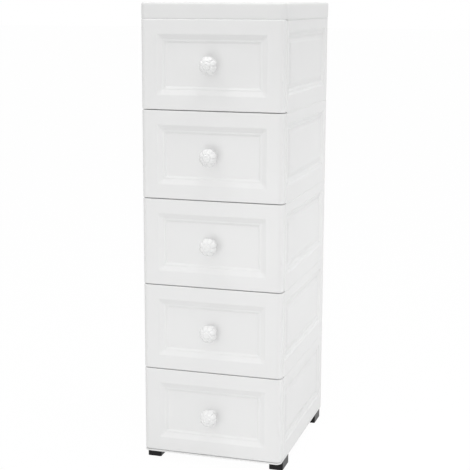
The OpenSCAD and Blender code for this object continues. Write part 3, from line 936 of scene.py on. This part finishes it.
def seen_directly(nodes, links, share):
    """A share for camera, glossy and transmission rays, and 0 for the rest."""
    path = nodes.new("ShaderNodeLightPath").outputs
    seen = combined(nodes, links, "MAXIMUM", path["Is Camera Ray"], path["Is Glossy Ray"])
    seen = combined(nodes, links, "MAXIMUM", seen, path["Is Transmission Ray"])
    return combined(nodes, links, "MULTIPLY", seen, share)


def white_where_seen(nodes, links, output, share, plain, white):
    """Joins a shader for the light that falls on things with a white one for what is seen."""
    mix = nodes.new("ShaderNodeMixShader")
    links.new(seen_directly(nodes, links, share), mix.inputs["Fac"])
    links.new(plain.outputs[0], mix.inputs[1])
    links.new(white.outputs[0], mix.inputs[2])
    links.new(mix.outputs[0], output.inputs["Surface"])


def floor_material():
    """Pale paint that looks white and keeps the object's shadow."""
    material = bpy.data.materials.new("floor_paint")
    material.use_nodes = True
    nodes, links = material.node_tree.nodes, material.node_tree.links
    nodes.clear()
    output = nodes.new("ShaderNodeOutputMaterial")
    paint = nodes.new("ShaderNodeBsdfDiffuse")
    paint.inputs["Color"].default_value = FLOOR_PAINT
    glow = nodes.new("ShaderNodeEmission")
    glow.inputs["Color"].default_value = WHITE
    glow.inputs["Strength"].default_value = FLOOR_GLOW
    white_where_seen(nodes, links, output, FLOOR_WHITE, paint, glow)
    return material


def light_all_round():
    """Soft world light, stronger from the front, on a white background."""
    world = bpy.data.worlds.new("studio")
    bpy.context.scene.world = world
    world.use_nodes = True
    nodes, links = world.node_tree.nodes, world.node_tree.links
    nodes.clear()
    output = nodes.new("ShaderNodeOutputWorld")
    direction = nodes.new("ShaderNodeSeparateXYZ")
    links.new(nodes.new("ShaderNodeTexCoord").outputs["Generated"], direction.inputs[0])
    facing = combined(nodes, links, "MULTIPLY", direction.outputs["Y"], -FROM_FRONT)
    in_front = combined(nodes, links, "MAXIMUM", facing, 0.0)
    soft = nodes.new("ShaderNodeBackground")
    soft.inputs["Color"].default_value = WHITE
    links.new(combined(nodes, links, "ADD", in_front, ALL_ROUND), soft.inputs["Strength"])
    white = nodes.new("ShaderNodeBackground")
    white.inputs["Color"].default_value = WHITE
    white.inputs["Strength"].default_value = 1.0
    white_where_seen(nodes, links, output, 1.0, soft, white)


def softbox(name, place, target, size, power):
    """Area lamp that isn't seen, also not in reflections."""
    lamp = bpy.data.lights.new(name, "AREA")
    lamp.shape = "RECTANGLE"
    lamp.size, lamp.size_y = size
    lamp.energy = power
    rig = bpy.data.objects.new(name, lamp)
    bpy.context.scene.collection.objects.link(rig)
    rig.location = place
    rig.rotation_euler = (Vector(target) - Vector(place)).to_track_quat("-Z", "Y").to_euler()
    rig.visible_glossy = False
    rig.visible_camera = False


corner_signs = ((-1, -1), (1, -1), (1, 1), (-1, 1))
floor_corners = [(x * FLOOR_REACH, y * FLOOR_REACH, 0) for x, y in corner_signs]
floor_mesh = bpy.data.meshes.new("floor")
floor_mesh.from_pydata(floor_corners, [], [(0, 1, 2, 3)])
floor = bpy.data.objects.new("floor", floor_mesh)
bpy.context.scene.collection.objects.link(floor)
floor_mesh.materials.append(floor_material())

light_all_round()

# Name, place, target, size in metres and power in watts
softbox("top_left", (-0.7, -0.8, 2.6), (0.0, -0.15, 0.5), (0.8, 0.8), 6.5)
softbox("top_middle", (0.0, -0.6, 2.9), (0.0, -0.15, 0.5), (0.8, 0.8), 3.1)
softbox("top_right", (0.6, -0.8, 2.6), (0.0, -0.15, 0.5), (0.8, 0.8), 6.4)
softbox("top_side", (0.8, 0.1, 2.6), (0.15, 0.02, 0.5), (0.8, 0.8), 3.0)
softbox("top_side_steep", (0.5, 0.1, 2.8), (0.15, 0.02, 0.5), (0.8, 0.8), 7.5)
softbox("front_far", (0.0, -2.0, 0.3), (0.0, -0.15, 0.4), (0.8, 0.5), 1.9)
softbox("front_near", (0.0, -1.0, 0.45), (0.0, -0.15, 0.45), (0.5, 0.5), 1.0)
softbox("side_near", (1.1, 0.1, 0.45), (0.15, 0.05, 0.45), (0.5, 0.5), 3.0)

# Camera at the photo's angle: place in metres, turns in radians, lens and sensor in mm
CAMERA_AT = (0.72463, -2.42806, 0.96602)
YAW, PITCH, ROLL = 0.2912, 0.1953, 0.00349
LENS, SENSOR = 90.81, 36.0

camera = bpy.data.objects.new("camera", bpy.data.cameras.new("camera"))
bpy.context.scene.collection.objects.link(camera)
camera.data.lens = LENS
camera.data.sensor_width = SENSOR
flat = math.cos(PITCH)
ahead = Vector((-math.sin(YAW) * flat, math.cos(YAW) * flat, -math.sin(PITCH)))
right = Vector((math.cos(YAW), math.sin(YAW), 0.0))
up = right.cross(ahead)
right, up = (
    math.cos(ROLL) * right + math.sin(ROLL) * up,
    math.cos(ROLL) * up - math.sin(ROLL) * right,
)
turn = Matrix((right, up, -ahead)).transposed().to_4x4()
camera.matrix_world = Matrix.Translation(CAMERA_AT) @ turn
bpy.context.scene.camera = camera
bpy.context.scene.view_settings.view_transform = "Standard"

bpy.context.view_layer.update()
